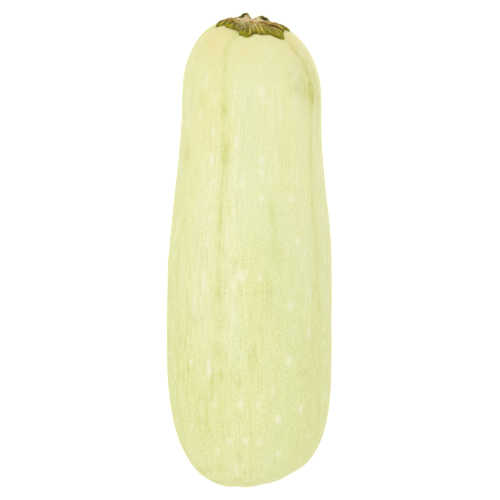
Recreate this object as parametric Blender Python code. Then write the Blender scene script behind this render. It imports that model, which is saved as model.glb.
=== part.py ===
"""A vegetable marrow, as picked, lying on its side on a flat surface.

The fruit is one solid: a turned profile with a narrower neck and a full belly, pushed in along five furrows
that run from the stalk, faintly creased towards its blossom end, and flattened a little where it lies. The stalk
is what stayed on when the fruit was picked: a low, torn cap of dried stem whose ridges grip the fruit's shoulder.
Both are worked out stem end up, and an empty lays them down with the stem end towards +Y. Units are metres.
"""

import math

import bmesh
import bpy
import numpy as np

# Turned profile of the fruit, measured along its axis from the stem pole
FRUIT_LENGTH = 0.2834
BELLY_RADIUS = 0.0493
NECK_RADIUS = 0.0412
NECK_END = 0.0560
BELLY_START = 0.1545
SHOULDER_LENGTH = 0.0480
SHOULDER_POWER = 2.3
TIP_LENGTH = 0.0840
TIP_POWER = 2.9
PROFILE_SAMPLES = 2001

# Crookedness of the axis at the neck and of both ends, all towards one side or the other of +X
SWAY = 0.0015
SWAY_CENTRE = 0.0450
SWAY_SPREAD = 0.0290
SHOULDER_SLANT = math.radians(3.0)
SHOULDER_SLANT_REACH = 0.080
TIP_SLANT = math.radians(4.5)
TIP_SLANT_REACH = 0.013

# Furrows: azimuth about the fruit's axis from the side that faces up, towards +X. They turn a little on their way
FURROWS_AT_STALK = [math.radians(angle) for angle in (-94, -30, 66, 116, 168)]
FURROWS_ON_BODY = [math.radians(angle) for angle in (-94, -21, 57, 119, 185)]
FURROW_TURN = 0.040
FURROW_DEPTH_AT_STALK = 0.0036
FURROW_DEPTH_ON_BODY = 0.0006
FURROW_FADE = 0.020
FURROW_SHARPNESS = 0.8
FURROW_START = 0.009

# Creases that run into the blossom end, one on each furrow and one between each two
CREASE_DEPTH = 0.0006
CREASE_REACH = 0.055

# Slow unevenness of the body
WAVE_DEPTH = 0.0005
WAVE_FADE = 0.060

# Hollow that the stalk sits in, the lower shoulder on the side that faces down, and the scar of the dropped blossom
SEAT_DEPTH = 0.0026
SEAT_REACH = 0.021
BACK_DROP = 0.0012
BACK_STARTS, BACK_IS_FULL = 0.35, 0.85
BACK_RISE = 0.014
BACK_END = 0.055
BACK_FADE = 0.030
SCAR_RADIUS = 0.0065
SCAR_DIMPLE = 0.0011
SCAR_RING = 0.0005

# How the fruit lies: pitched stem down until its weight is over the flat spot
REST_PITCH = math.radians(2.0)
FLAT_DEPTH = 0.0008
GROUND_CUTTER = (0.2, 0.4, 0.1)

# Ridges and webs of the stalk: azimuth, half width, reach from the axis, height over the fruit, flare of the wall
STALK_LOBES = [
    (math.radians(-78), math.radians(14), 0.0216, 0.0034, 0.0030),
    (math.radians(-50), math.radians(19), 0.0178, 0.0026, 0.0040),
    (math.radians(-16), math.radians(6), 0.0218, 0.0012, 0.0090),
    (math.radians(-5), math.radians(14), 0.0242, 0.0014, 0.0120),
    (math.radians(22), math.radians(28), 0.0229, 0.0016, 0.0120),
    (math.radians(51), math.radians(16), 0.0262, 0.0018, 0.0100),
    (math.radians(89), math.radians(12), 0.0246, 0.0010, 0.0060),
    (math.radians(135), math.radians(18), 0.0165, 0.0031, 0.0035),
    (math.radians(188), math.radians(14), 0.0165, 0.0057, 0.0040),
    (math.radians(240), math.radians(18), 0.0175, 0.0012, 0.0040),
]
REACH, HEIGHT, FLARE = 2, 3, 4
NOTCH_REACH = 0.0145
NOTCH_HEIGHT = 0.0010
NOTCH_FLARE = 0.0030
HOLLOW_HEIGHT = 0.0020
RIM_DROP = 0.16
TOP_END = 0.48
WALL_END = 0.70
SEAT_GAP = 0.0003

# Mesh fineness
SEGMENTS_ROUND = 80
FRUIT_RINGS = 50
STALK_RINGS = 26
POLE_CROWDING = 0.55


def clear_scene():
    for obj in list(bpy.data.objects):
        bpy.data.objects.remove(obj)


def material(name, colour, roughness):
    made = bpy.data.materials.new(name)
    made.use_nodes = True
    shader = made.node_tree.nodes["Principled BSDF"]
    shader.inputs["Base Color"].default_value = (*colour, 1.0)
    shader.inputs["Roughness"].default_value = roughness
    shader.inputs["Metallic"].default_value = 0.0
    made.diffuse_color = (*colour, 1.0)
    return made


def smoothstep(value, start, end):
    share = np.clip((value - start) / (end - start), 0.0, 1.0)
    return share * share * (3.0 - 2.0 * share)


def superellipse(share, power):
    """Height of a superellipse's quarter at this share of its run, from 1 at the start to 0 at the end."""
    return (1.0 - np.clip(share, 0.0, 1.0) ** power) ** (1.0 / power)


def turned_radius(distance):
    """Radius of the turned profile at a distance from the stem pole along the axis."""
    widening = smoothstep(distance, NECK_END, BELLY_START)
    trunk = NECK_RADIUS + (BELLY_RADIUS - NECK_RADIUS) * widening
    shoulder = superellipse((SHOULDER_LENGTH - distance) / SHOULDER_LENGTH, SHOULDER_POWER)
    tip = superellipse((distance - FRUIT_LENGTH + TIP_LENGTH) / TIP_LENGTH, TIP_POWER)
    return trunk * shoulder * tip


def turned_profile():
    """Samples from the stem pole to the blossom pole: arc length, distance, radius and the outward normal."""
    turn = np.linspace(0.0, math.pi, PROFILE_SAMPLES)
    distance = FRUIT_LENGTH * (1.0 - np.cos(turn)) / 2.0
    radius = turned_radius(distance)
    arc = np.concatenate([[0.0], np.cumsum(np.hypot(np.diff(distance), np.diff(radius)))])
    return arc, distance, radius, np.gradient(distance, arc), -np.gradient(radius, arc)


ARC, DISTANCE, RADIUS, NORMAL_OUT, NORMAL_DOWN = turned_profile()


def count_round(azimuth, furrows):
    """A count that rises evenly by one from each of these furrows to the next."""
    first = furrows[0]
    knots = np.array([*furrows, first + 2.0 * math.pi])
    return np.interp(first + (azimuth - first) % (2.0 * math.pi), knots, np.arange(len(knots)))


def furrow_phase(arc, azimuth):
    """The same count at this distance from the stalk, between the furrows' places there and on the body."""
    at_stalk = np.exp(-arc / FURROW_TURN)
    on_body = count_round(azimuth, FURROWS_ON_BODY)
    return on_body + (count_round(azimuth, FURROWS_AT_STALK) - on_body) * at_stalk


def relief(arc, azimuth):
    """How far the surface stands out from the turned profile, along its normal."""
    phase = furrow_phase(arc, azimuth)
    to_tip = ARC[-1] - arc
    hollow = 1.0 - np.abs(np.sin(math.pi * phase)) ** FURROW_SHARPNESS
    fade = np.exp(-np.maximum(arc - FURROW_START, 0.0) / FURROW_FADE)
    depth = FURROW_DEPTH_ON_BODY + (FURROW_DEPTH_AT_STALK - FURROW_DEPTH_ON_BODY) * fade
    furrows = -depth * hollow * smoothstep(arc, 0.0, FURROW_START) * smoothstep(to_tip, SCAR_RADIUS, CREASE_REACH)

    crease = 1.0 - np.abs(np.sin(2.0 * math.pi * phase))
    near_tip = smoothstep(to_tip, 0.0, 2.0 * SCAR_RADIUS) * smoothstep(CREASE_REACH - to_tip, 0.0, CREASE_REACH / 2.0)
    creases = -CREASE_DEPTH * crease * near_tip

    waves = np.sin(2.0 * azimuth + 28.0 * arc + 0.6) * np.sin(21.0 * arc + 1.0)
    waves = waves + 0.7 * np.sin(3.0 * azimuth - 39.0 * arc + 2.1)
    waves = WAVE_DEPTH * waves * smoothstep(arc, 0.0, WAVE_FADE) * smoothstep(to_tip, 0.0, WAVE_FADE)

    seat = -SEAT_DEPTH * (1.0 - smoothstep(arc, 0.0, SEAT_REACH))
    at_back = smoothstep(-np.cos(azimuth), BACK_STARTS, BACK_IS_FULL)
    back = -BACK_DROP * at_back * smoothstep(arc, 0.0, BACK_RISE) * smoothstep(BACK_END - arc, 0.0, BACK_FADE)
    from_scar = to_tip / SCAR_RADIUS
    dimple = -SCAR_DIMPLE * np.exp(-((from_scar / 0.55) ** 2))
    ring = SCAR_RING * np.exp(-(((from_scar - 1.0) / 0.35) ** 2))
    return furrows + creases + waves + seat + back + dimple + ring


def fruit_surface(arc, azimuth):
    """Points of the fruit's skin at these arc lengths from the stem pole and azimuths, stem end up."""
    out = relief(arc, azimuth)
    radius = np.interp(arc, ARC, RADIUS) + out * np.interp(arc, ARC, NORMAL_OUT)
    distance = np.interp(arc, ARC, DISTANCE) + out * np.interp(arc, ARC, NORMAL_DOWN)
    across = radius * np.sin(azimuth)
    shoulder = smoothstep(SHOULDER_SLANT_REACH - distance, 0.0, SHOULDER_SLANT_REACH)
    tip = smoothstep(distance - FRUIT_LENGTH + TIP_SLANT_REACH, 0.0, TIP_SLANT_REACH)
    slant = math.tan(SHOULDER_SLANT) * shoulder - math.tan(TIP_SLANT) * tip
    sway = SWAY * np.exp(-(((distance - SWAY_CENTRE) / SWAY_SPREAD) ** 2))
    height = FRUIT_LENGTH / 2.0 - distance - slant * across
    return np.stack([across + sway, -radius * np.cos(azimuth), height], axis=-1)


def shaped_sphere(name, rings, place):
    """A UV sphere whose points are moved to place(share of the way from its top pole to its bottom, azimuth)."""
    mesh = bpy.data.meshes.new(name)
    ball = bmesh.new()
    bmesh.ops.create_uvsphere(ball, u_segments=SEGMENTS_ROUND, v_segments=rings, radius=1.0)
    points = np.array([vertex.co for vertex in ball.verts])
    share = np.arccos(np.clip(points[:, 2], -1.0, 1.0)) / math.pi
    azimuth = np.arctan2(points[:, 0], -points[:, 1])
    for vertex, point in zip(ball.verts, place(share, azimuth)):
        vertex.co = point
    bmesh.ops.recalc_face_normals(ball, faces=ball.faces)
    ball.to_mesh(mesh)
    ball.free()
    mesh.shade_smooth()
    return bpy.data.objects.new(name, mesh)


def fruit_point(share, azimuth):
    """A point of the fruit, with the rings set closer together near both poles."""
    share = share - POLE_CROWDING * np.sin(2.0 * math.pi * share) / (2.0 * math.pi)
    return fruit_surface(ARC[-1] * share, azimuth)


def lobed(azimuth, lowest, column):
    """A value round the stalk: lowest in its notches, and that column of STALK_LOBES on each ridge and web."""
    value = np.full_like(azimuth, lowest)
    for lobe in STALK_LOBES:
        turned = (azimuth - lobe[0] + math.pi) % (2.0 * math.pi) - math.pi
        bump = np.exp(-((turned / lobe[1]) ** 2) * math.log(2.0))
        value = np.maximum(value, lowest + (lobe[column] - lowest) * bump)
    return value


def stalk_point(share, azimuth):
    """The stalk's surface: its hollow top out to the rim, its flared wall, and its underside back to the axis."""
    flare = lobed(azimuth, NOTCH_FLARE, FLARE)
    rim = lobed(azimuth, NOTCH_REACH, REACH) - flare
    over_top = np.clip(share / TOP_END, 0.0, 1.0)
    down_wall = np.clip((share - TOP_END) / (WALL_END - TOP_END), 0.0, 1.0)
    back_under = np.clip((share - WALL_END) / (1.0 - WALL_END), 0.0, 1.0)
    rise = smoothstep(over_top, 0.1, 0.85) - RIM_DROP * smoothstep(over_top, 0.85, 1.0)
    top = HOLLOW_HEIGHT + (lobed(azimuth, NOTCH_HEIGHT, HEIGHT) - HOLLOW_HEIGHT) * rise
    lift = SEAT_GAP + (top - SEAT_GAP) * (1.0 - down_wall) ** 1.2
    points = fruit_surface((rim * over_top + flare * down_wall) * (1.0 - back_under), azimuth)
    points[:, 2] += lift
    return points


def lay_down(pieces, collection):
    """Parents the pieces to an empty that turns them onto their side, centred on the ground over the origin."""
    tilt = -(math.pi / 2.0 + REST_PITCH)
    points = np.concatenate([[vertex.co for vertex in piece.data.vertices] for piece in pieces])
    across, near, up = points.T
    along = math.cos(tilt) * near - math.sin(tilt) * up
    height = math.sin(tilt) * near + math.cos(tilt) * up
    empty = bpy.data.objects.new("lying_marrow", None)
    empty.rotation_euler = (tilt, 0.0, 0.0)
    empty.location = (
        -(across.min() + across.max()) / 2.0,
        -(along.min() + along.max()) / 2.0,
        -height.min() - FLAT_DEPTH,
    )
    collection.objects.link(empty)
    for piece in pieces:
        collection.objects.link(piece)
        piece.parent = empty


def cut_flat_spot(fruit, collection):
    """Takes off what hangs below the ground, so that the fruit rests on a small flat spot."""
    bpy.ops.mesh.primitive_cube_add(size=1.0, location=(0.0, 0.0, -GROUND_CUTTER[2] / 2.0))
    ground = bpy.context.object
    ground.name = "ground_cutter"
    ground.scale = GROUND_CUTTER
    ground.hide_render = True
    ground.display_type = "WIRE"
    for linked in list(ground.users_collection):
        linked.objects.unlink(ground)
    collection.objects.link(ground)
    cut = fruit.modifiers.new("flat_spot", "BOOLEAN")
    cut.operation = "DIFFERENCE"
    cut.solver = "EXACT"
    cut.object = ground


def main():
    clear_scene()
    marrow = bpy.data.collections.new("marrow")
    cutters = bpy.data.collections.new("cutters")
    bpy.context.scene.collection.children.link(marrow)
    bpy.context.scene.collection.children.link(cutters)

    fruit = shaped_sphere("fruit", FRUIT_RINGS, fruit_point)
    fruit.data.materials.append(material("fruit_skin", (0.78, 0.80, 0.45), 0.5))
    stalk = shaped_sphere("stalk", STALK_RINGS, stalk_point)
    stalk.data.materials.append(material("dry_stalk", (0.24, 0.20, 0.06), 0.8))
    lay_down([fruit, stalk], marrow)
    cut_flat_spot(fruit, cutters)


main()
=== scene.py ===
"""The looks of a vegetable marrow that lies on a pale floor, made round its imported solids."""

import math

import bpy
import numpy as np
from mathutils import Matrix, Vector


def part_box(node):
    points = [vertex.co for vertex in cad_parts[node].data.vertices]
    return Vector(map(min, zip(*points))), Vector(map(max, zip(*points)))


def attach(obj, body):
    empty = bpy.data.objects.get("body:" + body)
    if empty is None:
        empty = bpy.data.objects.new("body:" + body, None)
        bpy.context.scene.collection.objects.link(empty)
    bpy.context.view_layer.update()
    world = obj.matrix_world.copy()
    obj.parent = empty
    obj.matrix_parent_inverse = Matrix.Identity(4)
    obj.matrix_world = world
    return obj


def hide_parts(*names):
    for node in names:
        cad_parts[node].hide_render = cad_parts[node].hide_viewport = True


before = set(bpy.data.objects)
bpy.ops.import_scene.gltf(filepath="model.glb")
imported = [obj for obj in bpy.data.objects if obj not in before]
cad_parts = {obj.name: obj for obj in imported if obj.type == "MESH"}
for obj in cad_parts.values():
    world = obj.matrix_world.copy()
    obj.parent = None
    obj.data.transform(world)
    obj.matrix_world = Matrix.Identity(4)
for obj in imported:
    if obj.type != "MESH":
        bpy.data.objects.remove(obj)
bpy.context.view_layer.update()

# THE FRUIT
# One grown piece: firm flesh in a thin waxy skin, cream-green, with cream flecks and olive stains. It swells
# from a narrow neck to a full belly, and five furrows run down from the ridges of its stalk. It lies on a
# ground spot that its own weight has flattened and that the sun never reached.
FRUIT_LENGTH = 0.2834
BELLY_RADIUS = 0.0493
NECK_RADIUS = 0.0412
NECK_END = 0.0560
BELLY_START = 0.1545
SHOULDER_LENGTH = 0.0480
SHOULDER_POWER = 2.3
TIP_LENGTH = 0.0840
TIP_POWER = 3.0

SWAY = 0.0015
SWAY_CENTRE = 0.0450
SWAY_SPREAD = 0.0290
SHOULDER_SLANT = math.radians(3.0)
SHOULDER_SLANT_REACH = 0.080
TIP_SLANT = math.radians(4.6)
TIP_SLANT_REACH = 0.019

FURROWS_AT_STALK = [math.radians(angle) for angle in (-94, -30, 66, 116, 168)]
FURROWS_ON_BODY = [math.radians(angle) for angle in (-94, -21, 57, 119, 185)]
FURROW_TURN = 0.040
FURROW_DEPTH_AT_STALK = 0.0036
FURROW_DEPTH_ON_BODY = 0.0006
FURROW_FADE = 0.020
FURROW_SHARPNESS = 0.8
FURROW_START = 0.009
CREASE_DEPTH = 0.0006
CREASE_REACH = 0.055
WAVE_DEPTH = 0.0005
WAVE_FADE = 0.060
SEAT_DEPTH = 0.0026
SEAT_REACH = 0.021
BACK_DROP = 0.0012
BACK_STARTS, BACK_IS_FULL = 0.35, 0.85
BACK_RISE = 0.014
BACK_END = 0.055
BACK_FADE = 0.030
SCAR_RADIUS = 0.0065
SCAR_DIMPLE, SCAR_DIMPLE_WIDTH = 0.0011, 0.55
SCAR_RING, SCAR_RING_WIDTH = 0.0005, 0.35

REST_PITCH = math.radians(2.0)
FLAT_DEPTH = 0.0008
FINE_INSET = 0.00018
RIB_DEPTH = 0.00022
LUMP_DEPTH = 0.00012
PUCKER_DEPTH = 0.00016
FRUIT_RINGS = 330
FRUIT_ROUND = 300
POLE_CROWDING = 0.35


def smoothstep(value, start, end):
    """0 before start, 1 after end, and three squares less two cubes of the share between them. Where end is
    less than start, it falls as the value grows."""
    share = np.clip((value - start) / (end - start), 0.0, 1.0)
    return share * share * (3.0 - 2.0 * share)


def bell(value, middle, spread):
    """The exponential of minus a square, that of the distance from the middle in spreads."""
    return np.exp(-(((value - middle) / spread) ** 2))


def superellipse(share, power):
    """The power-th root of one less the share to that power: 1 at the start and 0 at the end."""
    return (1.0 - np.clip(share, 0.0, 1.0) ** power) ** (1.0 / power)


def turned_profile():
    """Arc length, distance down the axis, radius and outward normal of the fruit's turned profile.
    The radius is a neck that widens to the belly by a smoothstep, times a superellipse at either end."""
    turn = np.linspace(0.0, math.pi, 2001)
    distance = FRUIT_LENGTH * (1.0 - np.cos(turn)) / 2.0
    trunk = NECK_RADIUS + (BELLY_RADIUS - NECK_RADIUS) * smoothstep(distance, NECK_END, BELLY_START)
    shoulder = superellipse((SHOULDER_LENGTH - distance) / SHOULDER_LENGTH, SHOULDER_POWER)
    tip = superellipse((distance - FRUIT_LENGTH + TIP_LENGTH) / TIP_LENGTH, TIP_POWER)
    radius = trunk * shoulder * tip
    arc = np.concatenate([[0.0], np.cumsum(np.hypot(np.diff(distance), np.diff(radius)))])
    return arc, distance, radius, np.gradient(distance, arc), -np.gradient(radius, arc)


ARC, DISTANCE, RADIUS, NORMAL_OUT, NORMAL_DOWN = turned_profile()


def count_round(azimuth, furrows):
    """A count that rises evenly by one from each of these furrows to the next."""
    first = furrows[0]
    knots = np.array([*furrows, first + 2.0 * math.pi])
    return np.interp(first + (azimuth - first) % (2.0 * math.pi), knots, np.arange(len(knots)))


def furrow_phase(arc, azimuth):
    """The count on the body, moved towards the count at the stalk by a share that dies away from there."""
    at_stalk = np.exp(-arc / FURROW_TURN)
    on_body = count_round(azimuth, FURROWS_ON_BODY)
    return on_body + (count_round(azimuth, FURROWS_AT_STALK) - on_body) * at_stalk


def soft_noise(along, azimuth, cell, cells_round, seed):
    """Values from -1 to 1 on a seeded lattice that closes round the piece, joined by smoothsteps. Its cells
    are this long, and this many go round."""
    row, column = along / cell, azimuth / (2.0 * math.pi) % 1.0 * cells_round
    i, j = np.floor(row).astype(int), np.floor(column).astype(int)
    u, v = smoothstep(row - i, 0.0, 1.0), smoothstep(column - j, 0.0, 1.0)
    lattice = np.random.default_rng(seed).uniform(-1.0, 1.0, (i.max() + 2, cells_round))
    left, right = j % cells_round, (j + 1) % cells_round
    upper = lattice[i, left] * (1.0 - v) + lattice[i, right] * v
    lower = lattice[i + 1, left] * (1.0 - v) + lattice[i + 1, right] * v
    return upper * (1.0 - u) + lower * u


def relief(arc, azimuth):
    """Height over the turned profile: furrows deepest at the stalk, creases at the blossom end, slow waves,
    the hollow for the stalk, a lower shoulder behind it, and the ring and dimple of the blossom scar."""
    phase = furrow_phase(arc, azimuth)
    to_tip = ARC[-1] - arc
    hollow = 1.0 - np.abs(np.sin(math.pi * phase)) ** FURROW_SHARPNESS
    fade = np.exp(-np.maximum(arc - FURROW_START, 0.0) / FURROW_FADE)
    depth = FURROW_DEPTH_ON_BODY + (FURROW_DEPTH_AT_STALK - FURROW_DEPTH_ON_BODY) * fade
    furrows = -depth * hollow * smoothstep(arc, 0.0, FURROW_START)
    furrows = furrows * smoothstep(to_tip, SCAR_RADIUS, CREASE_REACH)
    crease = 1.0 - np.abs(np.sin(2.0 * math.pi * phase))
    near_tip = smoothstep(CREASE_REACH - to_tip, 0.0, CREASE_REACH / 2.0)
    near_tip = near_tip * smoothstep(to_tip, 0.0, 2.0 * SCAR_RADIUS)
    waves = np.sin(2.0 * azimuth + 28.0 * arc + 0.6) * np.sin(21.0 * arc + 1.0)
    waves = waves + 0.7 * np.sin(3.0 * azimuth - 39.0 * arc + 2.1)
    waves = WAVE_DEPTH * waves * smoothstep(arc, 0.0, WAVE_FADE) * smoothstep(to_tip, 0.0, WAVE_FADE)
    seat = -SEAT_DEPTH * (1.0 - smoothstep(arc, 0.0, SEAT_REACH))
    at_back = smoothstep(-np.cos(azimuth), BACK_STARTS, BACK_IS_FULL)
    back = -BACK_DROP * at_back * smoothstep(arc, 0.0, BACK_RISE)
    back = back * smoothstep(BACK_END - arc, 0.0, BACK_FADE)
    from_scar = to_tip / SCAR_RADIUS
    ring = SCAR_RING * bell(from_scar, 1.0, SCAR_RING_WIDTH)
    dimple = SCAR_DIMPLE * bell(from_scar, 0.0, SCAR_DIMPLE_WIDTH)
    return furrows - CREASE_DEPTH * crease * near_tip + waves + seat + back + ring - dimple


def fine_relief(arc, azimuth):
    """What the skin adds to that: ten faint ribs that fade at both ends, lumps the size of a thumb print,
    and small puckers round the blossom scar."""
    rib = np.abs(np.sin(2.0 * math.pi * furrow_phase(arc, azimuth))) - 0.6
    body = smoothstep(arc, 0.02, 0.06) * smoothstep(ARC[-1] - arc, 0.03, 0.09)
    lumps = soft_noise(arc, azimuth, 0.016, 24, 5) + 0.4 * soft_noise(arc, azimuth, 0.006, 60, 6)
    lumps = lumps * smoothstep(arc, 0.0, 0.02) * smoothstep(ARC[-1] - arc, 0.004, 0.03)
    puckers = soft_noise(0.0 * arc, azimuth, 1.0, 22, 7) * bell((ARC[-1] - arc) / SCAR_RADIUS, 1.2, 0.7)
    return RIB_DEPTH * rib * body + LUMP_DEPTH * lumps + PUCKER_DEPTH * puckers - FINE_INSET


def fruit_surface(arc, azimuth, fine):
    """Points of the skin, stem end up: the profile and its relief turned about the axis, then slanted at
    both ends and swayed at the neck."""
    out = relief(arc, azimuth) + fine
    radius = np.interp(arc, ARC, RADIUS) + out * np.interp(arc, ARC, NORMAL_OUT)
    distance = np.interp(arc, ARC, DISTANCE) + out * np.interp(arc, ARC, NORMAL_DOWN)
    across = radius * np.sin(azimuth)
    shoulder = smoothstep(SHOULDER_SLANT_REACH - distance, 0.0, SHOULDER_SLANT_REACH)
    tip = smoothstep(distance - FRUIT_LENGTH + TIP_SLANT_REACH, 0.0, TIP_SLANT_REACH)
    slant = math.tan(SHOULDER_SLANT) * shoulder - math.tan(TIP_SLANT) * tip
    sway = SWAY * bell(distance, SWAY_CENTRE, SWAY_SPREAD)
    height = FRUIT_LENGTH / 2.0 - distance - slant * across
    return np.stack([across + sway, -radius * np.cos(azimuth), height], axis=-1)


def turned_over(points):
    """The same points turned about X until the stem end is towards +Y, pitched down by the rest pitch."""
    tilt = -(math.pi / 2.0 + REST_PITCH)
    across, near, up = np.moveaxis(points, -1, 0)
    along = math.cos(tilt) * near - math.sin(tilt) * up
    height = math.sin(tilt) * near + math.cos(tilt) * up
    return np.stack([across, along, height], axis=-1)


def closed_surface(name, points):
    """A piece from a grid of points, rings by places round. Its first and last rings are poles, one point
    each, and every other ring closes on itself."""
    rings, around = points.shape[:2]
    vertices = np.concatenate([points[:1, 0], points[1:-1].reshape(-1, 3), points[-1:, 0]])
    start = 1 + around * np.arange(rings - 3)[:, None]
    here, after = np.arange(around), (np.arange(around) + 1) % around
    quads = np.stack([start + here, start + around + here, start + around + after, start + after], axis=-1)
    last = len(vertices) - 1
    top = np.stack([np.zeros(around, int), 1 + here, 1 + after], axis=-1)
    bottom = np.stack([np.full(around, last), last - around + after, last - around + here], axis=-1)
    mesh = bpy.data.meshes.new(name)
    mesh.from_pydata(vertices.tolist(), [], quads.reshape(-1, 4).tolist() + top.tolist() + bottom.tolist())
    mesh.shade_smooth()
    piece = bpy.data.objects.new(name, mesh)
    bpy.context.scene.collection.objects.link(piece)
    return piece


def store(piece, name, values):
    """Puts a number or a vector for each grid point into the mesh, as an attribute for its material."""
    flat = np.concatenate([values[:1, 0], values[1:-1].reshape(-1, *values.shape[2:]), values[-1:, 0]])
    if flat.ndim == 1:
        piece.data.attributes.new(name, "FLOAT", "POINT").data.foreach_set("value", flat.astype(np.float32))
    else:
        made = piece.data.attributes.new(name, "FLOAT_VECTOR", "POINT")
        made.data.foreach_set("vector", flat.astype(np.float32).ravel())


share = np.linspace(0.0, 1.0, FRUIT_RINGS)
ring_arc = ARC[-1] * (share - POLE_CROWDING * np.sin(2.0 * math.pi * share) / (2.0 * math.pi))
places_round = np.linspace(-math.pi, math.pi, FRUIT_ROUND, endpoint=False)
arc, azimuth = np.meshgrid(ring_arc, places_round, indexing="ij")
plain = turned_over(fruit_surface(arc, azimuth, 0.0))
fruit_low, fruit_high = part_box("fruit")
lie_at = np.array(
    [
        (fruit_low.x + fruit_high.x - plain[..., 0].min() - plain[..., 0].max()) / 2.0,
        (fruit_low.y + fruit_high.y - plain[..., 1].min() - plain[..., 1].max()) / 2.0,
        -plain[..., 2].min() - FLAT_DEPTH,
    ]
)
skin = turned_over(fruit_surface(arc, azimuth, fine_relief(arc, azimuth))) + lie_at
skin[..., 2] = np.maximum(skin[..., 2], 0.0)
fruit = closed_surface("marrow_fruit", skin)

# The marks on the skin are worked out in millimetres along it and degrees round it. The radius counts as no
# less than this, so that no mark near a pole reaches all the way round it.
LEAST_RADIUS_MM = 6.0
along_mm = arc * 1000.0
round_deg = np.degrees(azimuth)
from_tip = ARC[-1] - arc
radius_mm = np.maximum(np.interp(arc, ARC, RADIUS) * 1000.0, LEAST_RADIUS_MM)

# Cream flecks that show from above: degrees round, millimetres from the stem pole, length, width, strength
CLEAR_FLECKS = [
    (-42, 54, 9.0, 3.0, 0.7), (-14, 59, 9.0, 2.2, 0.6), (8, 57, 9.0, 4.6, 0.9), (8, 64, 7.0, 3.0, 0.7),
    (-33, 83, 6.0, 2.8, 0.9), (-12, 88, 10.0, 3.4, 0.9), (-32, 99, 9.0, 3.2, 1.0), (9, 98, 8.0, 4.0, 0.9),
    (9, 106, 7.0, 3.4, 0.9), (-30, 112, 5.0, 3.4, 1.0), (-6, 111, 6.0, 3.6, 0.9), (9, 120, 5.5, 3.6, 0.8),
    (33, 122, 6.0, 3.6, 1.0), (-30, 133, 7.0, 3.4, 0.9), (36, 147, 5.0, 3.8, 0.9),
    (-6, 165, 7.6, 7.0, 1.0), (-11, 171, 6.6, 4.4, 1.0), (7, 166, 6.0, 3.6, 0.7),
    (47, 182, 9.0, 2.8, 0.9), (46, 204, 9.0, 3.0, 0.9), (-17, 204, 7.0, 2.2, 0.7),
    (28, 219, 6.8, 4.2, 1.0), (-29, 224, 13.0, 3.4, 0.9), (-6, 244, 5.2, 4.4, 0.9),
    (6, 244, 6.0, 3.8, 0.8), (20, 254, 5.8, 4.4, 1.0), (38, 250, 7.0, 4.0, 0.9), (-3, 267, 5.4, 4.2, 0.8),
    (-45, 75, 8.0, 4.0, 0.55), (-16, 70, 14.0, 2.6, 0.6), (-31, 148, 9.0, 2.8, 0.7),
    (-42, 128, 6.0, 2.0, 0.4), (-38, 155, 12.0, 3.0, 0.4), (-33, 170, 18.0, 5.0, 0.7),
    (-41, 186, 22.0, 5.0, 0.6), (-16, 142, 18.0, 2.6, 0.7), (6, 190, 5.0, 4.0, 0.4),
    (-3, 190, 6.0, 3.4, 0.4), (29, 185, 7.0, 6.0, 0.75), (31, 199, 7.0, 6.0, 0.50),
    (32, 206, 6.0, 4.0, 0.4), (36, 215, 7.0, 4.0, 0.35), (-9, 205, 10.0, 2.6, 0.35),
    (7, 268, 5.4, 4.0, 0.75), (-14, 268, 5.4, 3.6, 0.75), (-45, 262, 5.4, 4.0, 0.75),
    (-24, 276, 8.0, 3.6, 0.70), (22, 277, 7.0, 3.6, 0.75), (-25, 246, 6.0, 3.4, 0.60),
    (16, 236, 8.0, 3.6, 0.50), (-44, 222, 4.6, 4.0, 0.80), (48, 268, 8.0, 3.6, 0.55),
]  # fmt: skip
FLECK_ROWS = 21
FLECKS_FROM_MM = 34.0
FLECKS_TO_MM = 318.0
UNSEEN_FROM_DEG = 56.0
TENTH_OF_TURN_DEG = 36.0
SUNNY_FLANK_DEG = -58.0
GREEN_SIDE_DEG = 32.0
SEAT_EDGE_MM = 21.0


def oval(at_deg, at_mm, length, width):
    """1 at a mark's middle, falling to a third of that at its rim and to nothing outside it."""
    turned = np.radians((round_deg - at_deg + 180.0) % 360.0 - 180.0)
    return np.exp(-(((along_mm - at_mm) / (0.5 * length)) ** 2) - (radius_mm * turned / (0.5 * width)) ** 2)


# The flecks that show are listed one by one. A rule adds the rest, in broken rows, fainter where those are.
flecks = np.zeros_like(arc)
for at_deg, at_mm, length, width, strength in CLEAR_FLECKS:
    flecks = np.maximum(flecks, strength * oval(at_deg, at_mm, length, width))
dice = np.random.default_rng(31)
for row in range(FLECK_ROWS):
    row_deg = 360.0 * (row + dice.uniform(-0.15, 0.15)) / FLECK_ROWS
    at_mm = FLECKS_FROM_MM + dice.uniform(0.0, 14.0)
    while at_mm < FLECKS_TO_MM:
        at_deg = (row_deg + dice.uniform(-2.5, 2.5) + 180.0) % 360.0 - 180.0
        way_down = at_mm / FLECKS_TO_MM
        length, width = dice.uniform(5.0, 9.0) - 3.0 * way_down, dice.uniform(1.8, 2.8) + 1.4 * way_down
        strength = dice.uniform(0.25, 0.9) * (1.0 if abs(at_deg) > UNSEEN_FROM_DEG else 0.35)
        flecks = np.maximum(flecks, strength * oval(at_deg, at_mm, length, width))
        at_mm += dice.uniform(8.0, 24.0)

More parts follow.
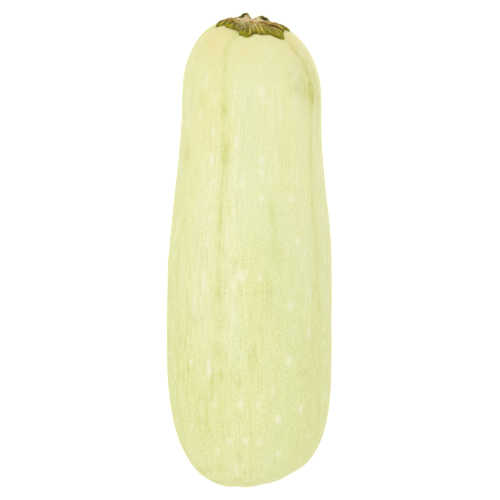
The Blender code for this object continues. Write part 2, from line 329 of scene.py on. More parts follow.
# Olive stain lies on the furrows, and more thinly on the rib between each two, in broken lengths. The side
# that shows from above has its own strokes, placed as the flecks are.
STROKES = [
    (-28, 34, 16.0, 2.6, 0.50), (-25, 46, 18.0, 2.4, 0.60), (-24, 60, 18.0, 2.8, 0.50),
    (-23, 70, 12.0, 4.4, 0.85), (-23, 84, 14.0, 2.2, 0.45), (-21, 96, 17.0, 5.2, 1.15),
    (-22, 112, 14.0, 2.8, 0.45), (-22, 132, 26.0, 3.4, 0.80), (-22, 150, 22.0, 2.6, 0.60),
    (-21, 164, 12.0, 2.0, 0.35), (-22, 177, 9.0, 4.6, 0.80), (-23, 196, 14.0, 2.0, 0.35),
    (-23, 212, 9.0, 4.6, 0.80), (-27, 231, 22.0, 2.6, 0.85), (-20, 227, 6.0, 3.4, 0.80),
    (-31, 252, 20.0, 2.2, 0.75), (-36, 268, 14.0, 2.4, 0.55), (-50, 296, 7.0, 6.0, 1.10),
    (58, 64, 20.0, 5.0, 0.60), (57, 100, 30.0, 3.4, 0.70), (55, 130, 34.0, 3.0, 0.70),
    (55, 160, 30.0, 3.0, 0.60), (17, 131, 18.0, 5.0, 0.55), (18, 149, 22.0, 5.4, 0.62),
    (13, 177, 24.0, 5.0, 0.50), (-60, 175, 60.0, 1.8, 0.65), (-59, 224, 40.0, 1.8, 0.55),
    (-6, 231, 5.0, 3.0, 0.35), (-9, 251, 7.0, 2.6, 0.45), (-7, 279, 8.0, 2.4, 0.45),
    (4, 175, 4.0, 6.0, 0.35), (39, 274, 9.0, 3.0, 0.40), (-63, 284, 12.0, 2.6, 1.30),
    (-42, 150, 18.0, 1.8, 0.35), (-47, 190, 26.0, 1.6, 0.40), (-38, 303, 3.4, 12.0, 1.00),
    (-2, 303, 3.0, 14.0, 0.90), (-16, 262, 14.0, 1.8, 0.45), (30, 160, 20.0, 1.8, 0.30),
    (50, 212, 24.0, 1.8, 0.40),
]  # fmt: skip
wander = math.radians(3.0) * np.sin(38.0 * arc + 2.0) * np.exp(-arc / 0.08)
ten_phase = 2.0 * furrow_phase(arc, azimuth + wander)
to_line = (ten_phase + 0.5) % 1.0 - 0.5
line_mm = to_line * math.radians(TENTH_OF_TURN_DEG) * radius_mm
unseen = smoothstep(np.abs(round_deg), 52.0, 72.0)
on_furrow = 0.5 + 0.5 * np.cos(math.pi * ten_phase)
broken = soft_noise(arc, azimuth, 0.019, 10, 11) + 0.6 * soft_noise(arc, azimuth, 0.007, 10, 12)
lengths = smoothstep(broken, -0.35, 0.75) * smoothstep(along_mm, 12.0, 34.0)
lengths = lengths * smoothstep(along_mm, 325.0, 270.0)
stain = bell(line_mm, 0.0, 1.5 + 0.5 * broken) * lengths * (0.3 + 0.7 * on_furrow**2)
stain = stain * (1.0 - 0.55 * smoothstep(along_mm, 130.0, 220.0)) * (0.3 + 0.7 * unseen)
for at_deg, at_mm, length, width, strength in STROKES:
    stain = np.maximum(stain, strength * oval(at_deg, at_mm, length, width))
halo = bell(line_mm, 0.0, 3.6) * (0.3 + 0.7 * on_furrow) * smoothstep(along_mm, 12.0, 40.0)

# Olive fibres stand closest on the flank that grew towards the light, and towards the blossom end.
flank = 0.5 + 0.5 * np.cos(azimuth - math.radians(SUNNY_FLANK_DEG))
fibrous = 0.15 + 0.45 * flank**3 + 0.45 * smoothstep(along_mm, 130.0, 300.0) + 0.20 * on_furrow**3 * unseen
fibrous = fibrous + 0.35 * soft_noise(arc, azimuth, 0.030, 18, 13)
on_flank = smoothstep(-np.sin(azimuth), 0.35, 0.85) * smoothstep(along_mm, 190.0, 250.0)
fibrous = fibrous + 0.12 * on_flank
fibrous = np.clip(fibrous * (0.2 + 0.8 * smoothstep(along_mm, 30.0, 90.0)), 0.0, 1.0)
fibrous = fibrous * (1.0 - 0.45 * smoothstep(along_mm, 225.0, 280.0))

# Ochre scuffs, placed the same way
SCUFFS = [
    (58, 34, 18.0, 8.0, 0.8), (61, 49, 18.0, 8.0, 1.0), (60, 62, 20.0, 9.0, 1.4),
    (57, 76, 12.0, 6.0, 0.35), (50, 58, 26.0, 11.0, 0.85), (43, 57, 9.0, 12.0, 0.90),
    (37, 49, 6.0, 8.0, 0.40), (70, 60, 40.0, 6.0, 0.80), (-60, 98, 14.0, 6.0, 0.45),
    (-43, 68, 9.0, 7.0, 0.30), (41, 228, 4.0, 9.0, 0.50), (-39, 197, 4.0, 12.0, 0.30),
    (51, 180, 9.0, 4.0, 0.45), (2, 196, 4.0, 14.0, 0.20), (-26, 290, 5.0, 9.0, 0.40),
    (-12, 298, 4.0, 6.0, 0.70), (12, 299, 3.0, 9.0, 0.60), (24, 296, 3.0, 7.0, 0.50),
    (-40, 292, 4.0, 8.0, 0.55), (150, 95, 16.0, 6.0, 0.7), (205, 58, 20.0, 5.0, 0.9),
    (238, 190, 14.0, 5.0, 0.5), (112, 215, 12.0, 7.0, 0.5),
]  # fmt: skip
scuffs = np.zeros_like(arc)
for at_deg, at_mm, length, width, strength in SCUFFS:
    scuffs = np.maximum(scuffs, strength * oval(at_deg, at_mm, length, width))

# A beige blush lies round the neck. The skin is greener on one side and in two bands, paler in two more,
# and riper and yellower towards the blossom end and low down on the flanks.
blush = smoothstep(along_mm, 62.0, 20.0) * (0.75 + 0.5 * soft_noise(arc, azimuth, 0.012, 14, 15))
blush = blush * (1.0 - 0.65 * bell(round_deg, 18.0, 24.0))
cool_band = bell(round_deg, 24.0, 22.0) + 0.5 * bell(round_deg, -6.0, 9.0)
greener = 0.40 + 0.20 * np.cos(azimuth - math.radians(GREEN_SIDE_DEG))
greener = greener + 0.35 * soft_noise(arc, azimuth, 0.090, 14, 17)
greener = greener + 0.40 * cool_band * smoothstep(along_mm, 300.0, 220.0)
greener = np.clip(greener * smoothstep(along_mm, 10.0, 45.0), 0.0, 1.0)
pallor = bell(round_deg, -32.0, 13.0) + 0.8 * bell(round_deg, -13.0, 5.0)
pallor = pallor * smoothstep(along_mm, 70.0, 110.0) * smoothstep(along_mm, 245.0, 190.0)
ripe = smoothstep(along_mm, 60.0, 250.0) * (0.75 + 0.35 * soft_noise(arc, azimuth, 0.05, 8, 19))
ripe = ripe + 0.30 * on_flank
low_down = smoothstep(np.abs(round_deg), 54.0, 68.0) * smoothstep(along_mm, 20.0, 45.0)
ripe = ripe + (0.35 - 0.15 * np.sin(azimuth)) * low_down

# The skin is fresh green round the stalk's foot, corky at the blossom scar, and yellow where it lay.
seat_edge = bell(np.maximum(along_mm, SEAT_EDGE_MM), SEAT_EDGE_MM, 4.5) * (0.25 + 0.75 * on_furrow**4)
scar_edge = 0.92 + 0.16 * soft_noise(0.0 * arc, azimuth, 1.0, 9, 71)
scar_edge = SCAR_RADIUS * (scar_edge + 0.06 * soft_noise(0.0 * arc, azimuth, 1.0, 31, 72))
scar = np.exp(-((from_tip / scar_edge) ** 4))
scar_heart = np.exp(-((from_tip / (0.36 * scar_edge)) ** 4))
ground_spot = smoothstep(0.011 - skin[..., 2], 0.0, 0.009) * smoothstep(along_mm, 60.0, 110.0)
ground_spot = ground_spot * smoothstep(along_mm, 300.0, 250.0)

# The skin's patterns are laid out on a straight tube, whose ends close as the fruit's own do, so that the
# fibres run along the body and break up into mottling towards both poles.
PATTERN_RADIUS, PATTERN_CLOSE = 0.045, 1.25
tube = np.minimum(PATTERN_RADIUS, PATTERN_CLOSE * np.interp(arc, ARC, RADIUS))
store(fruit, "skin_place", np.stack([tube * np.sin(azimuth), arc, tube * np.cos(azimuth)], axis=-1))
for name, values in (
    ("flecks", flecks), ("stain", stain), ("halo", halo), ("scuffs", scuffs), ("blush", blush),
    ("fibrous", fibrous), ("greener", greener), ("ripe", ripe), ("seat_edge", seat_edge), ("scar", scar),
    ("scar_heart", scar_heart), ("ground_spot", ground_spot), ("pallor", pallor),
):  # fmt: skip
    store(fruit, name, values)


def paint(red, green, blue):
    """A colour given as screen values from 0 to 255, made linear for the shader."""
    screen = np.array([red, green, blue]) / 255.0
    return (*np.where(screen > 0.04045, ((screen + 0.055) / 1.055) ** 2.4, screen / 12.92), 1.0)


class Paintbox:
    """A node material in the making. Its methods add nodes to it, and give back the last one's output."""

    def __init__(self, name):
        self.material = bpy.data.materials.new(name)
        self.material.use_nodes = True
        self.tree = self.material.node_tree
        self.shader = self.tree.nodes["Principled BSDF"]

    def add(self, kind, inputs=(), **settings):
        """A node of this kind, with these inputs and settings."""
        made = self.tree.nodes.new(kind)
        for name, value in settings.items():
            setattr(made, name, value)
        for socket, value in dict(inputs).items():
            self.put(made.inputs[socket], value)
        return made

    def put(self, socket, value):
        """Links an output to the socket, or sets a plain value there."""
        if isinstance(value, bpy.types.NodeSocket):
            self.tree.links.new(value, socket)
        else:
            socket.default_value = value

    def mark(self, name):
        """The number that is stored in the mesh under this name."""
        return self.add("ShaderNodeAttribute", attribute_name=name).outputs["Fac"]

    def place(self, name, stretch):
        """The point that is stored under this name, times these three numbers."""
        source = self.add("ShaderNodeAttribute", attribute_name=name).outputs["Vector"]
        return self.add("ShaderNodeMapping", {"Vector": source, "Scale": stretch}).outputs["Vector"]

    def noise(self, vector, scale, detail=2.0, roughness=0.5):
        inputs = {"Vector": vector, "Scale": scale, "Detail": detail, "Roughness": roughness}
        return self.add("ShaderNodeTexNoise", inputs).outputs["Fac"]

    def fit(self, value, low, high, to_low=0.0, to_high=1.0):
        """The value's share of the way from low to high, by a smoothstep, taken from to_low to to_high."""
        inputs = {"Value": value, "From Min": low, "From Max": high, "To Min": to_low, "To Max": to_high}
        return self.add("ShaderNodeMapRange", inputs, interpolation_type="SMOOTHSTEP").outputs["Result"]

    def times(self, first, second):
        return self.add("ShaderNodeMath", {0: first, 1: second}, operation="MULTIPLY").outputs[0]

    def plus(self, first, second):
        return self.add("ShaderNodeMath", {0: first, 1: second}, operation="ADD").outputs[0]

    def mix(self, share, first, second):
        """The first colour, with this share of it giving way to the second."""
        made = self.add("ShaderNodeMix", {"Factor": share}, data_type="RGBA")
        self.put(made.inputs[6], first)
        self.put(made.inputs[7], second)
        return made.outputs[2]

    def wash(self, colour, name, share, tint):
        """The colour with the tint laid over it, by this share of the mark of that name."""
        return self.mix(self.times(self.mark(name), share), colour, tint)

    def bump(self, height, distance, strength, normal=None):
        """A normal bent by the slope of this height, after any other normal."""
        inputs = {"Height": height, "Distance": distance, "Strength": strength}
        if normal:
            inputs["Normal"] = normal
        return self.add("ShaderNodeBump", inputs).outputs["Normal"]


YELLOW_CREAM = paint(232, 228, 165)
GREEN_CREAM = paint(227, 231, 182)
RIPE_CREAM = paint(218, 223, 150)
PALE_CREAM = paint(242, 240, 212)
FLECK_CREAM = paint(238, 236, 206)
BEIGE = paint(235, 221, 160)
OLIVE = paint(192, 197, 66)
FIBRE_OLIVE = paint(209, 209, 124)
OCHRE = paint(193, 180, 22)
BROWN = paint(110, 88, 46)
FRESH_GREEN = paint(214, 218, 132)
GROUND_YELLOW = paint(238, 222, 140)
CORK = paint(184, 164, 118)
BARK = paint(140, 114, 72)

# How far the skin's length counts in a pattern beside its girth: the less it counts, the longer the streaks
LENGTH_COUNTS = (1.0, 0.40, 0.25, 0.22, 0.09)


def skin_material():
    """Waxy skin: two creams in slow patches, fibres and mottling that run with the fruit, and each mark."""
    box = Paintbox("waxy_skin")
    even, slow, broad, slim, long = (box.place("skin_place", (1.0, count, 1.0)) for count in LENGTH_COUNTS)

    patches = box.noise(broad, 60.0, 3.0)
    share = box.plus(box.mark("greener"), box.fit(patches, 0.3, 0.7, -0.28, 0.28))
    colour = box.mix(share, YELLOW_CREAM, GREEN_CREAM)
    colour = box.wash(colour, "ripe", 0.72, RIPE_CREAM)
    colour = box.wash(colour, "pallor", 0.28, PALE_CREAM)
    beds = box.fit(box.noise(long, 60.0, 2.0), 0.35, 0.65, 0.25, 1.0)
    pale_fibre = box.fit(box.noise(long, 560.0, 3.0, 0.7), 0.48, 0.70, 0.0, 0.60)
    colour = box.mix(box.times(pale_fibre, beds), colour, PALE_CREAM)
    olive_fibre = box.fit(box.noise(long, 610.0, 4.0, 0.7), 0.46, 0.68, 0.0, 0.75)
    colour = box.mix(box.times(olive_fibre, box.mark("fibrous")), colour, FIBRE_OLIVE)
    ticks = box.fit(box.noise(slim, 640.0, 4.0, 0.8), 0.58, 0.72, 0.0, 0.50)
    colour = box.mix(box.times(ticks, box.mark("fibrous")), colour, OLIVE)
    stipple = box.noise(even, 980.0, 2.0, 0.8)
    colour = box.mix(box.fit(stipple, 0.50, 0.68, 0.0, 0.60), colour, PALE_CREAM)
    colour = box.mix(box.fit(stipple, 0.50, 0.32, 0.0, 0.24), colour, FIBRE_OLIVE)
    mottled = box.fit(box.noise(even, 120.0, 3.0, 0.6), 0.35, 0.65, 0.50, 1.05)
    colour = box.wash(colour, "blush", mottled, BEIGE)
    colour = box.wash(colour, "halo", 0.10, FRESH_GREEN)

    ragged = box.fit(box.noise(slim, 700.0, 3.0, 0.7), 0.3, 0.7, 0.35, 1.2)
    colour = box.wash(colour, "stain", box.times(ragged, 0.55), OLIVE)
    colour = box.wash(colour, "scuffs", box.times(ragged, 0.45), OCHRE)
    fleck_edge = box.fit(box.noise(slow, 800.0, 3.0, 0.8), 0.3, 0.7, -0.16, 0.16)
    fleck = box.fit(box.plus(box.mark("flecks"), fleck_edge), 0.10, 0.80, 0.0, 0.75)
    colour = box.mix(fleck, colour, FLECK_CREAM)
    colour = box.wash(colour, "ground_spot", 0.7, GROUND_YELLOW)
    colour = box.wash(colour, "seat_edge", 0.5, FRESH_GREEN)
    cork = box.plus(box.mark("scar"), box.fit(box.noise(even, 700.0, 3.0, 0.8), 0.3, 0.7, -0.3, 0.3))
    colour = box.mix(box.fit(box.mark("scar"), 0.02, 0.30, 0.0, 0.45), colour, FRESH_GREEN)
    colour = box.mix(box.fit(cork, 0.35, 0.65, 0.0, 0.9), colour, CORK)
    cracks = box.fit(box.noise(even, 520.0, 3.0, 0.8), 0.42, 0.62)
    colour = box.wash(colour, "scar", cracks, BARK)
    colour = box.wash(colour, "scar_heart", 0.75, BROWN)

    specks = box.add("ShaderNodeTexVoronoi", {"Vector": even, "Scale": 240.0, "Randomness": 1.0})
    drawn = box.add("ShaderNodeSeparateColor", {"Color": specks.outputs["Color"]}).outputs[0]
    chosen = box.fit(drawn, 0.80, 0.96)
    dot = box.times(box.fit(specks.outputs["Distance"], 0.11, 0.05), chosen)
    dot = box.times(dot, box.fit(box.mark("fibrous"), 0.1, 0.7, 0.25, 1.0))
    on_scuff = box.fit(box.noise(even, 1100.0, 2.0, 0.8), 0.62, 0.70)
    on_scuff = box.times(on_scuff, box.fit(box.mark("scuffs"), 0.4, 1.0, 0.0, 0.8))
    dot = box.plus(dot, on_scuff)
    colour = box.mix(box.times(dot, 0.45), colour, BROWN)
    box.put(box.shader.inputs["Base Color"], colour)

    wax = box.fit(box.noise(even, 160.0, 3.0, 0.6), 0.3, 0.7, 0.42, 0.56)
    wax = box.plus(wax, box.times(box.mark("scuffs"), 0.15))
    box.put(box.shader.inputs["Roughness"], wax)
    pores = box.bump(box.noise(even, 1400.0, 2.0, 0.6), 0.00008, 0.6)
    grain = box.bump(box.noise(long, 700.0, 3.0, 0.6), 0.00012, 0.5, pores)
    box.put(box.shader.inputs["Normal"], box.bump(fleck, 0.00010, 0.5, grain))
    box.shader.inputs["Specular IOR Level"].default_value = 0.16
    box.shader.inputs["Subsurface Weight"].default_value = 0.12
    box.shader.inputs["Subsurface Radius"].default_value = (1.0, 0.75, 0.30)
    box.shader.inputs["Subsurface Scale"].default_value = 0.003
    return box.material


fruit.data.materials.append(skin_material())
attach(fruit, "root")
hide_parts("fruit")

# THE STALK
# What stayed of the stem when the fruit was twisted off its plant: a low cap that has dried hard. Its
# ridges run out into the furrows, webs join them over the shoulder, and its torn top is fibrous and sunken.
STALK_LOBES = [
    (math.radians(-78), math.radians(14), 0.0216, 0.0028, 0.0030),
    (math.radians(-50), math.radians(20), 0.0182, 0.0026, 0.0044),
    (math.radians(-16), math.radians(6), 0.0218, 0.0012, 0.0090),
    (math.radians(-5), math.radians(14), 0.0242, 0.0014, 0.0120),
    (math.radians(22), math.radians(28), 0.0226, 0.0016, 0.0118),
    (math.radians(51), math.radians(20), 0.0266, 0.0018, 0.0104),
    (math.radians(72), math.radians(10), 0.0222, 0.0010, 0.0070),
    (math.radians(89), math.radians(12), 0.0246, 0.0010, 0.0060),
    (math.radians(135), math.radians(18), 0.0165, 0.0031, 0.0035),
    (math.radians(189), math.radians(17), 0.0165, 0.0048, 0.0036),
    (math.radians(240), math.radians(18), 0.0175, 0.0012, 0.0040),
]
AT, HALF_WIDTH, REACH, HEIGHT, FLARE = range(5)
LOBE_FLATNESS = 2.3
NOTCH_REACH = 0.0145
NOTCH_HEIGHT = 0.0010
NOTCH_FLARE = 0.0030
HOLLOW_HEIGHT = 0.0020
LIP = 0.0010
FIBRE_HEIGHT = 0.00026
CRUMB_HEIGHT = 0.00036
STRIATION_HEIGHT = 0.00020
SHRUNK_INSIDE, SHRUNK_WIDTH, SHRUNK_DEPTH = 0.0009, 0.0006, 0.0006
FULL_SPLIT = 0.0011
THINNEST = 0.0003
TUCKED_IN, UNDERSIDE = 0.0002, 0.0004
PITH_RADIUS = 0.0032
TOP_END = 0.50
WALL_END = 0.88
STALK_RINGS = 200
STALK_ROUND = 460

# Splits and sunken places: degrees round, distance from the axis, length outward, width, depth
SPLITS = [
    (71, 0.0165, 0.0150, 0.0012, 0.0013), (97, 0.0160, 0.0080, 0.0022, 0.0010),
    (-24, 0.0165, 0.0070, 0.0014, 0.0010), (-14, 0.0115, 0.0120, 0.0012, 0.0008),
    (-40, 0.0125, 0.0080, 0.0009, 0.0005), (-62, 0.0145, 0.0050, 0.0010, 0.0005),
    (205, 0.0098, 0.0036, 0.0040, 0.0020), (126, 0.0110, 0.0050, 0.0044, 0.0018),
    (167, 0.0090, 0.0120, 0.0026, 0.0007), (150, 0.0085, 0.0060, 0.0020, 0.0008),
    (262, 0.0120, 0.0120, 0.0022, 0.0007), (225, 0.0120, 0.0070, 0.0014, 0.0006),
    (60, 0.0110, 0.0060, 0.0010, 0.0006), (40, 0.0090, 0.0050, 0.0009, 0.0005),
    (82, 0.0120, 0.0070, 0.0008, 0.0005),
]  # fmt: skip

# Patches of the torn top, placed the same way: bare pale pith, and pith that sap has tinted grey-green
PITH_PATCHES = [
    (206, 0.0070, 0.0060, 0.0070), (235, 0.0080, 0.0060, 0.0044), (178, 0.0040, 0.0110, 0.0072),
    (50, 0.0036, 0.0080, 0.0060), (128, 0.0064, 0.0040, 0.0030), (88, 0.0080, 0.0090, 0.0024),
    (-60, 0.0050, 0.0060, 0.0040),
]  # fmt: skip
SAP_PATCHES = [(-36, 0.0092, 0.0076, 0.0042), (-24, 0.0080, 0.0070, 0.0034), (10, 0.0128, 0.0050, 0.0030)]


def lobed(azimuth, lowest, column):
    """The lowest value in the notches, and above it the sixth root of the sum of each lobe's own share to
    the sixth power. A lobe's share is a bell curve round its azimuth with a slightly flattened top."""
    total = np.zeros_like(azimuth)
    for lobe in STALK_LOBES:
        turned = np.abs((azimuth - lobe[AT] + math.pi) % (2.0 * math.pi) - math.pi)
        bump = np.exp(-((turned / lobe[HALF_WIDTH]) ** LOBE_FLATNESS) * math.log(2.0))
        total = total + np.maximum((lobe[column] - lowest) * bump, 0.0) ** 6
    return lowest + total ** (1.0 / 6.0)


places_round = np.linspace(-math.pi, math.pi, STALK_ROUND, endpoint=False)
path, around = np.meshgrid(np.linspace(0.0, 1.0, STALK_RINGS), places_round, indexing="ij")
level = 0.0 * around
over_top = np.clip(path / TOP_END, 0.0, 1.0)
down_wall = np.clip((path - TOP_END) / (WALL_END - TOP_END), 0.0, 1.0)
back_under = np.clip((path - WALL_END) / (1.0 - WALL_END), 0.0, 1.0)
reach = lobed(around, NOTCH_REACH, REACH) + 0.0003 * soft_noise(level, around, 1.0, 64, 41) - 0.0002
rim = lobed(around, NOTCH_REACH, REACH) - lobed(around, NOTCH_FLARE, FLARE)
rim = rim + 0.0005 * soft_noise(level, around, 1.0, 44, 42)
out = (rim * over_top + (reach - rim) * down_wall) * (1.0 - back_under)


def patch(at_deg, at_out, length, width, flatness=2):
    """1 in the middle of a place on the cap, less outward by an even power and less sideways by a bell."""
    turned = (np.degrees(around) - at_deg + 180.0) % 360.0 - 180.0
    wobble = 0.0005 * soft_noise(out, level, 0.003, 3, 50 + abs(at_deg))
    aside = out * np.radians(turned) + wobble
    return np.exp(-np.abs((out - at_out) / (0.5 * length)) ** flatness - (aside / (0.5 * width)) ** 2)


# The top rises from the sunken pith to a ragged rim, with fibres that run outward and crumbs where it tore.
# A crease runs just inside the rim, where the stem's skin has shrunk away from its pith, and it is painted
# dark as shade.
ragged = 0.00042 * soft_noise(level, around, 1.0, 52, 43) + 0.00032 * soft_noise(level, around, 1.0, 23, 44)
rim_height = lobed(around, NOTCH_HEIGHT, HEIGHT) + ragged
top = HOLLOW_HEIGHT + (rim_height - HOLLOW_HEIGHT) * smoothstep(over_top, 0.1, 0.92)
crease_noise = np.clip(0.65 + 0.5 * soft_noise(level, around, 1.0, 40, 64), 0.0, 1.0)
crease = bell(out - rim, -SHRUNK_INSIDE, SHRUNK_WIDTH) * crease_noise
fibres = soft_noise(out, around, 0.006, 110, 45) * smoothstep(out, 0.001, 0.006)
crumble = soft_noise(out, around, 0.0022, 36, 46) + 0.5 * soft_noise(out, around, 0.0011, 80, 47)
rough = FIBRE_HEIGHT * fibres + CRUMB_HEIGHT * crumble
top = top - SHRUNK_DEPTH * crease + rough * smoothstep(out, 0.0, 0.003)

# The wall bulges from the rim down to a rounded lip, and its striations run outward too.
lip = LIP * (1.0 + 0.25 * soft_noise(level, around, 1.0, 34, 48))
wall = (np.maximum(rim_height, lip) - lip) * (1.0 - down_wall**1.3) + lip * np.sqrt(1.0 - down_wall**6)
grooved = np.sin(math.pi * np.clip(0.10 + 0.90 * down_wall, 0.0, 1.0)) ** 0.7
striation = soft_noise(out, around, 0.014, 170, 49) + 0.4 * soft_noise(out, around, 0.005, 60, 40)
wall = wall + STRIATION_HEIGHT * striation * grooved
lift = np.where(down_wall > 0.0, wall, top)
# Each split is sunk into the cap and also painted dark by its depth: painted shade in the split.
split_shade = np.zeros_like(out)
for at_deg, at_out, length, width, depth in SPLITS:
    split = patch(at_deg, at_out, length, width, 4)
    lift = lift - depth * split
    split_shade = np.maximum(split_shade, split * min(1.0, depth / FULL_SPLIT))
lift = np.where(down_wall < 0.97, np.maximum(lift, THINNEST), lift)
lift = np.where(down_wall >= 1.0, -TUCKED_IN, lift)
lift = np.where(back_under > 0.0, -UNDERSIDE, lift)

cap = fruit_surface(out, around, 0.0)
cap[..., 2] += lift
cap = turned_over(cap) + lie_at
stalk = closed_surface("marrow_stalk", cap)

# Crevices lie lower than what is round them, and ridges higher: a smoothed copy of the relief tells which.
# The crevices get painted shade.
SMOOTHINGS = 10
FULL_CREVICE, FULL_RIDGE = 0.00028, 0.00022
FOOT_FROM = 0.90
blurred = lift.copy()
for _ in range(SMOOTHINGS):
    blurred = (np.roll(blurred, 1, 1) + blurred + np.roll(blurred, -1, 1)) / 3.0
    blurred[1:-1] = (blurred[:-2] + blurred[1:-1] + blurred[2:]) / 3.0
crevice_shade = np.clip((blurred - lift) / FULL_CREVICE - 0.15, 0.0, 1.0) * (down_wall < FOOT_FROM)
raised = np.clip((lift - blurred) / FULL_RIDGE, 0.0, 1.0) * (down_wall < FOOT_FROM)
torn = 1.0 - smoothstep(down_wall + 0.16 * soft_noise(out, around, 0.003, 50, 62), 0.0, 0.22)
skinned_rim = smoothstep(rim_height, 0.0018, 0.0030) * smoothstep(over_top, 0.84, 0.97)
torn = torn * (1.0 - 0.85 * skinned_rim)
striped = np.clip(0.5 + 0.7 * striation, 0.0, 1.0)
browned = np.where(over_top < 1.0, smoothstep(over_top, 0.78, 1.0), bell(down_wall, 0.02, 0.30))
browned = browned * np.clip(0.55 + 0.9 * soft_noise(out, around, 0.004, 30, 65), 0.0, 1.0)
dark_rim = bell(out - rim, -0.0002, 0.0011) * smoothstep(rim_height, 0.0014, 0.0024)
dark_rim = dark_rim * np.clip(0.75 + 0.6 * soft_noise(level, around, 1.0, 30, 67), 0.0, 1.0)

# The two knobs behind have kept their green skin up to the rim, and the left end has browned least.
around_deg = np.degrees(around)
behind_deg = around_deg % 360.0
green_knobs = bell(behind_deg, 192.0, 26.0) + bell(behind_deg, 133.0, 24.0)
green_knobs = green_knobs * smoothstep(over_top, 0.55, 0.90)
left_end = bell(around_deg, -70.0, 24.0)
browned = browned * (1.0 - 0.65 * left_end) * (1.0 - np.minimum(green_knobs, 1.0))
raised = raised * (1.0 - 0.8 * np.minimum(green_knobs, 1.0))

# Painted shade and dirt darken the foot, most of all in two folds of the widest web. The wall is freshest
# low down.
in_folds = 0.30 + 0.60 * bell(around_deg, 6.0, 8.0) + 0.50 * bell(around_deg, 38.0, 10.0)
foot_shade = smoothstep(down_wall, 0.72, 1.0) * in_folds
fresh = np.clip(0.55 + 0.8 * soft_noise(out, around, 0.004, 22, 66), 0.0, 1.0)
fresh = fresh * smoothstep(down_wall, 0.40, 0.80)
fresh = np.maximum(fresh, smoothstep(down_wall, 0.45, 0.9) * smoothstep(out, 0.0205, 0.0240))
pith, sap = bell(out, 0.0, PITH_RADIUS), np.zeros_like(out)
for place in PITH_PATCHES:
    pith = np.maximum(pith, patch(*place))
for place in SAP_PATCHES:
    sap = np.maximum(sap, patch(*place))

STEM_RADIUS = 0.012
stem_place = np.stack([STEM_RADIUS * np.sin(around), out, STEM_RADIUS * np.cos(around)], axis=-1)
store(stalk, "stem_place", stem_place)
for name, values in (
    ("crevice_shade", crevice_shade), ("raised", raised), ("torn", torn), ("split_shade", split_shade), ("pith", pith),
    ("sap", sap), ("crease", crease), ("browned", browned), ("striped", striped), ("fresh", fresh),
    ("foot_shade", foot_shade), ("dark_rim", dark_rim), ("green_knobs", green_knobs),
):  # fmt: skip
    store(stalk, name, values)

STEM_OLIVE = paint(108, 108, 0)
STEM_LIME = paint(166, 164, 6)
STEM_TAN = paint(226, 192, 102)
DRY_BROWN = paint(138, 98, 36)
SHADE_DARK_BROWN = paint(38, 24, 8)
DARK_GREEN = paint(70, 76, 8)
PITH_CREAM = paint(255, 236, 196)
SAP_GREEN = paint(212, 216, 164)
RUST = paint(134, 54, 24)
FOOT_SHADE_BROWN = paint(72, 56, 8)
KNOB_GREEN = paint(132, 138, 54)


def stem_material():
    """Dried stem: olive skin outside, tan and brown fibre where torn, pale pith within, and painted shade in
    its splits, crevices and crease and along its foot.
    """
    box = Paintbox("dried_stem")
    fibre, even = box.place("stem_place", (1.0, 0.10, 1.0)), box.place("stem_place", (1.0, 1.0, 1.0))
    strands = box.fit(box.noise(fibre, 1150.0, 3.0, 0.7), 0.38, 0.62)
    blotches = box.noise(even, 420.0, 3.0, 0.7)
    outside = box.mix(box.fit(box.mark("striped"), 0.25, 1.0, 0.0, 0.9), STEM_OLIVE, STEM_TAN)
    outside = box.mix(box.times(strands, 0.45), outside, STEM_OLIVE)
    outside = box.mix(box.fit(blotches, 0.54, 0.68, 0.0, 0.7), outside, STEM_OLIVE)
    outside = box.wash(outside, "fresh", 0.85, STEM_LIME)
    outside = box.mix(box.fit(blotches, 0.46, 0.34, 0.0, 0.5), outside, DARK_GREEN)
    inside = box.mix(box.times(strands, 0.65), STEM_TAN, DRY_BROWN)
    inside = box.mix(box.fit(blotches, 0.52, 0.66, 0.0, 0.6), inside, STEM_OLIVE)
    colour = box.mix(box.mark("torn"), outside, inside)
    colour = box.wash(colour, "raised", 0.5, STEM_TAN)
    colour = box.wash(colour, "browned", 0.55, DRY_BROWN)
    streaky = box.fit(strands, 0.0, 1.0, 0.95, 0.30)
    colour = box.wash(colour, "sap", streaky, SAP_GREEN)
    colour = box.mix(box.times(box.fit(box.mark("pith"), 0.15, 0.7), streaky), colour, PITH_CREAM)
    rusty = box.times(box.fit(box.noise(even, 330.0, 2.0, 0.6), 0.58, 0.68), box.mark("torn"))
    colour = box.mix(box.times(rusty, 0.7), colour, RUST)
    colour = box.wash(colour, "dark_rim", 0.75, DARK_GREEN)
    knob = box.times(box.mark("green_knobs"), box.fit(blotches, 0.34, 0.56, 0.35, 0.85))
    colour = box.mix(knob, colour, KNOB_GREEN)
    # Painted shade in the crease inside the rim
    colour = box.wash(colour, "crease", 0.8, SHADE_DARK_BROWN)
    # Painted shade and dirt along the foot of the wall
    colour = box.wash(colour, "foot_shade", 0.9, FOOT_SHADE_BROWN)
    # Painted shade in the crevices
    colour = box.wash(colour, "crevice_shade", 0.85, SHADE_DARK_BROWN)
    # Painted shade in the splits and sunken places
    colour = box.wash(colour, "split_shade", 0.95, SHADE_DARK_BROWN)
    box.put(box.shader.inputs["Base Color"], colour)
    box.put(box.shader.inputs["Roughness"], box.fit(box.noise(fibre, 900.0, 2.0, 0.6), 0.3, 0.7, 0.6, 0.85))
    cracked = box.bump(box.noise(fibre, 1600.0, 3.0, 0.7), 0.00025, 0.8)
    box.put(box.shader.inputs["Normal"], box.bump(box.noise(even, 1200.0, 3.0, 0.7), 0.0002, 0.6, cracked))
    box.shader.inputs["Specular IOR Level"].default_value = 0.12
    return box.material


stalk.data.materials.append(stem_material())
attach(stalk, "root")
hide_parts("stalk")

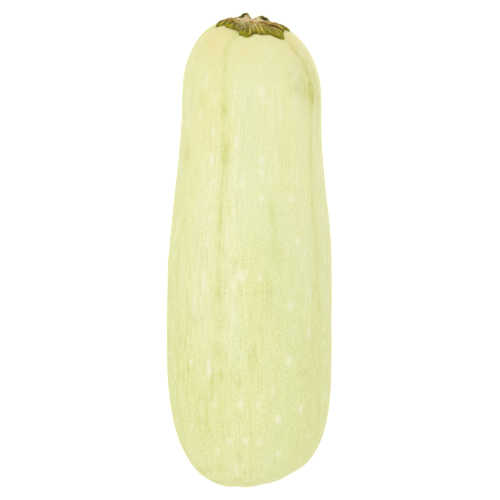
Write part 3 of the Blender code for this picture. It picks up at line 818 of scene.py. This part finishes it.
# THE FLOOR
# A wide, plain white sheet of opal plastic, lit a little from below as on a light table, so that the
# shadows on it stay faint.
FLOOR_HALF = 8.0
OPAL_WHITE = 0.58
OPAL_GLOW = 0.62
floor_mesh = bpy.data.meshes.new("floor")
corners = FLOOR_HALF * np.array([[-1.0, -1.0, 0.0], [1.0, -1.0, 0.0], [1.0, 1.0, 0.0], [-1.0, 1.0, 0.0]])
floor_mesh.from_pydata(corners.tolist(), [], [(0, 1, 2, 3)])
floor = bpy.data.objects.new("floor", floor_mesh)
bpy.context.scene.collection.objects.link(floor)
opal = Paintbox("opal_sheet")
opal.shader.inputs["Base Color"].default_value = (OPAL_WHITE, OPAL_WHITE, OPAL_WHITE, 1.0)
opal.shader.inputs["Roughness"].default_value = 0.7
opal.shader.inputs["Specular IOR Level"].default_value = 0.1
opal.shader.inputs["Emission Color"].default_value = (1.0, 1.0, 1.0, 1.0)
opal.shader.inputs["Emission Strength"].default_value = OPAL_GLOW
floor.data.materials.append(opal.material)

# THE LIGHT
# A pale room, brightest along its far walls, and one big soft box over the fruit, a little to the left, so
# that the skin rounds off softly towards its sides.
ROOM_OVERHEAD = 0.60
ROOM_AT_WALLS = 1.0
WALL_TOP = 0.10
CEILING_FROM = 0.30
room = bpy.data.worlds.new("pale_room")
room.use_nodes = True
nodes, links = room.node_tree.nodes, room.node_tree.links
looking = nodes.new("ShaderNodeTexCoord")
upward = nodes.new("ShaderNodeSeparateXYZ")
fall = nodes.new("ShaderNodeMapRange")
fall.interpolation_type = "SMOOTHSTEP"
fall.inputs["From Min"].default_value, fall.inputs["From Max"].default_value = WALL_TOP, CEILING_FROM
fall.inputs["To Min"].default_value, fall.inputs["To Max"].default_value = ROOM_AT_WALLS, ROOM_OVERHEAD
links.new(looking.outputs["Generated"], upward.inputs["Vector"])
links.new(upward.outputs["Z"], fall.inputs["Value"])
links.new(fall.outputs["Result"], nodes["Background"].inputs["Strength"])
nodes["Background"].inputs["Color"].default_value = (1.0, 1.0, 1.0, 1.0)
bpy.context.scene.world = room
bpy.context.scene.view_settings.view_transform = "Standard"

SOFT_BOX_PLACE = np.array([-0.12, 0.12, 1.75])
SOFT_BOX_SIZE = 1.6
SOFT_BOX_WATTS = 15.5
lamp = bpy.data.lights.new("soft_box", "AREA")
lamp.size, lamp.energy = SOFT_BOX_SIZE, SOFT_BOX_WATTS
soft_box = bpy.data.objects.new("soft_box", lamp)
soft_box.location = SOFT_BOX_PLACE
lean = math.atan2(math.hypot(SOFT_BOX_PLACE[0], SOFT_BOX_PLACE[1]), SOFT_BOX_PLACE[2])
soft_box.rotation_euler = (lean, 0.0, math.atan2(SOFT_BOX_PLACE[0], -SOFT_BOX_PLACE[1]))
bpy.context.scene.collection.objects.link(soft_box)

# THE CAMERA
# A long lens that looks down on the fruit from the stem's side, so that the top of the stalk just shows. Its
# focal length follows from the pixels that a metre takes up there.
CAMERA_DISTANCE = 2.0
CAMERA_LEAN = math.radians(18.5)
SENSOR_WIDTH = 36.0
PIXELS_ACROSS = 500.0
PIXELS_A_METRE = 1695.0
NEAREST_SEEN, FARTHEST_SEEN = 0.05, 50.0
AIM = (0.00026, 0.0020, 0.0)
camera_data = bpy.data.cameras.new("camera")
camera_data.sensor_width = SENSOR_WIDTH
camera_data.lens = SENSOR_WIDTH * CAMERA_DISTANCE * PIXELS_A_METRE / PIXELS_ACROSS
camera_data.clip_start, camera_data.clip_end = NEAREST_SEEN, FARTHEST_SEEN
camera = bpy.data.objects.new("camera", camera_data)
aim = np.array(AIM) + lie_at
towards = np.array([0.0, math.sin(CAMERA_LEAN), math.cos(CAMERA_LEAN)])
camera.location = aim + CAMERA_DISTANCE * towards
camera.rotation_euler = (-CAMERA_LEAN, 0.0, 0.0)
bpy.context.scene.collection.objects.link(camera)
bpy.context.scene.camera = camera
